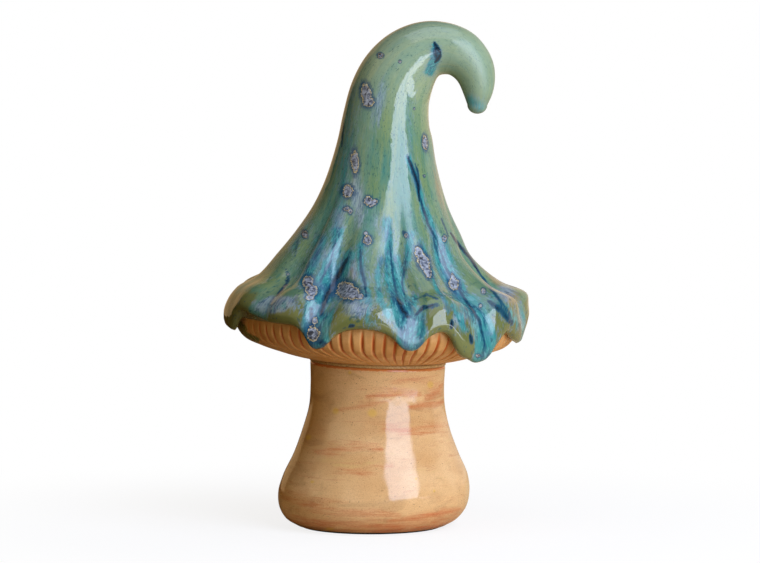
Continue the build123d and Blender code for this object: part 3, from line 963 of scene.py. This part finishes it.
# %% slip, yellow spots and iron on the stem
brush_marks = [
    # strength, half width, and the points of each stroke on the pane
    (0.8, 2.8, [(-2, 63.5), (12, 66.0), (24, 65)]), (0.85, 2.2, [(19, 58.5), (29, 60), (38, 61.5)]),
    (0.75, 4.4, [(27, 62), (36, 70)]), (0.7, 1.5, [(-18, 57), (-4, 59), (10, 62)]),
    (0.6, 3.2, [(-26, 36), (-10, 39), (5, 38)]), (0.6, 2.6, [(6, 48), (22, 47), (38, 50)]),
    (0.85, 2.4, [(8, 1.5), (26, 4.0), (44, 8.0)]), (0.8, 2.6, [(-12, -1), (12, 0), (34, 1.5)]),
    (0.7, 3.0, [(-44, 14), (-26, 8), (-6, 6), (14, 5)]),
    (0.4, 3.6, [(-48, 19), (-30, 13), (-12, 11)]), (0.5, 3.0, [(-18, 30), (-4, 27), (10, 30)]),
    (0.45, 3.5, [(6, 70), (20, 71), (34, 70)]),
]
yellow_spots = [
    # across, up, half width and half height on the pane
    (-17.5, 56.5, 1.8, 1.8), (-10.5, 75.5, 1.0, 1.0), (0.5, 55.5, 2.6, 2.2), (29, 69.5, 1.8, 2.0),
    (-29, 21.5, 1.2, 0.8), (31, 17, 0.7, 0.9), (22, 23, 0.8, 0.8), (-31, 43.5, 1.5, 1.5),
    (-20.5, -2, 2.8, 0.9),
]
stem_seen = on_pane(stem_grid)
stem_front = swell(facing(stem_grid), 0.0, 0.12)
pink = painted(stem_seen, stem_front, brush_marks, 0.6)
low_band = 0.75 * (1 - swell(stem_grid[..., 2], 3, 15))
top_edge = swell(stem_profile[:, 0], 77.9, 79.9)[:, None]
stem_fields = {
    "pink": np.maximum(pink, low_band),
    "yellow": nearest_patch(stem_seen, stem_front, yellow_spots),
    "iron": np.repeat(top_edge, len(stem_turns), 1),
}
make_piece("stem_body", stem_grid, "base", ["stem"], buff.material, stem_fields)

# %% the felt pad
pad_rows = [(0.0, 0.0), (34.3, 0.0), (34.6, 0.2), (34.6, 0.8), (34.3, 1.0), (0.0, 1.0)]
pad_grid = np.stack([level_ring(r, z, turns) for r, z in pad_rows])
make_piece("felt_disc", pad_grid, "base", ["felt_pad"], felt.material)

# %% [markdown]
# ## Light, ground and camera
#
# The glaze shows what stands round it. A tall window to the right of the camera draws the bright
# strip on the cone and the stem, and the lit floor before it carries the strip on, up to the blue
# dart at the crook. Larger and dimmer lights stand at the left, above and behind, warmer than the
# bluish window. The ground is white paper. The light it sends back is warm, with painted shade at
# the left and painted light at the right.

# %% the lamps
def softbox(name, azimuth, elevation, distance, wide, tall, glow, tint):
    """A rectangular lamp that faces the cap's foot, from a direction seen from the object.

    Azimuth 0 is the camera's side and 90 the right side. The power follows from the glow, the
    brightness of its face where white paper counts as 1.
    """
    lamp = bpy.data.lights.new(name, "AREA")
    lamp.shape = "RECTANGLE"
    lamp.size, lamp.size_y = wide, tall
    lamp.energy = glow * pi * wide * tall
    lamp.color = tint
    holder = put(name, lamp)
    a, e = radians(azimuth), radians(elevation)
    back = Vector((sin(a) * cos(e), -cos(a) * cos(e), sin(e)))
    holder.location = Vector((0, 0, 0.12)) + distance * back
    holder.rotation_euler = back.to_track_quat("Z", "Y").to_euler()
    holder.visible_camera = False
    return holder


# %% the lights in their places
WINDOW_LIGHT = (0.9, 1.02, 1.29)
softbox("key_softbox", 36.5, 25, 1.4, 0.92, 1.48, 5.6, WINDOW_LIGHT)
# the lit floor lies just above the paper and looks up, its long side away from the object
FLOOR_AZIMUTH, FLOOR_AWAY = 29.5, 1.35
floor_patch = softbox("floor_patch", FLOOR_AZIMUTH, 0, FLOOR_AWAY, 0.85, 1.7, 4.6, WINDOW_LIGHT)
floor_turn = radians(FLOOR_AZIMUTH)
floor_patch.location = (FLOOR_AWAY * sin(floor_turn), -FLOOR_AWAY * cos(floor_turn), 0.004)
floor_patch.rotation_euler = (pi, 0.0, -floor_turn)
softbox("left_softbox", -60, 24, 1.5, 1.5, 1.4, 0.6, (1.0, 0.79, 0.38))
softbox("top_softbox", 20, 78, 1.3, 1.2, 1.2, 1.2, (1.0, 1.03, 1.2))
softbox("back_right_panel", 140, 12, 1.4, 1.8, 1.4, 0.9, (1.0, 0.82, 0.62))
softbox("back_left_panel", -162, 10, 1.4, 1.2, 1.4, 0.5, (1.0, 0.64, 0.32))

# %% the ground and the world
ground_mesh = bpy.data.meshes.new("paper_ground")
ground_turns = [2 * pi * k / 64 for k in range(64)]
ground_rim = [(6 * cos(turn), 6 * sin(turn), -0.0001) for turn in ground_turns]
ground_mesh.from_pydata(ground_rim, [], [list(range(64))])
ground = put("paper_ground", ground_mesh)

# %% the paper: plain white to the camera but for the shadow at the foot; to the object warm, with painted shade at the left and painted light at the right
paper = Finish("paper")
distance = paper.node("VectorMath", {0: paper.place()}, "Value", operation="LENGTH")
near = paper.step(distance, 80.0, 300.0, 0.16, 0.0)
seen_shadow = paper.node("BsdfDiffuse", {"Color": (1, 1, 1, 1)})
white = paper.node("Emission", {"Color": (1, 1, 1, 1), "Strength": 1.0})
seen = paper.node("MixShader", {0: near, 1: white, 2: seen_shadow})
# to the object the paper runs from dark brown at the left to pale cream at the right: painted shade
# at the left and painted light at the right, sent back onto the object
across = paper.node("SeparateXYZ", {0: paper.place()}, "X")
bounce_with_painted_shade = paper.mix(paper.step(across, -170.0, 110.0), colour(96, 64, 30), colour(242, 216, 168))
bounce = paper.node("BsdfDiffuse", {"Color": bounce_with_painted_shade})
camera_ray = paper.node("LightPath", {}, "Is Camera Ray")
face = paper.node("MixShader", {0: camera_ray, 1: bounce, 2: seen})
paper.tree.links.new(face, paper.tree.nodes["Material Output"].inputs["Surface"])
ground_mesh.materials.append(paper.material)

# %% the room: white behind the object, a faint warm light everywhere else
world = bpy.data.worlds.new("studio")
bpy.context.scene.world = world
world.use_nodes = True
air = world.node_tree
backdrop = air.nodes["Background"]
backdrop.inputs["Color"].default_value = (1, 1, 1, 1)
room_colour = (*colour(190, 146, 74), 1)
room_light = add_node(air, "Background", {"Color": room_colour, "Strength": 0.07})
to_camera = add_node(air, "LightPath", {}, "Is Camera Ray")
chosen = add_node(air, "MixShader", {0: to_camera, 1: room_light, 2: backdrop.outputs[0]})
air.links.new(chosen, air.nodes["World Output"].inputs["Surface"])

# %% the camera
camera_data = bpy.data.cameras.new("camera")
camera = put("camera", camera_data)
bpy.context.scene.camera = camera
camera_data.sensor_width = 36.0
camera_data.lens = 213.2
camera.location = EYE * MM
aim = Vector((0.0043, 0.0, 0.1203))
camera.rotation_euler = (aim - camera.location).to_track_quat("-Z", "Y").to_euler()
camera_data.clip_end = 100.0
bpy.context.scene.view_settings.view_transform = "Standard"
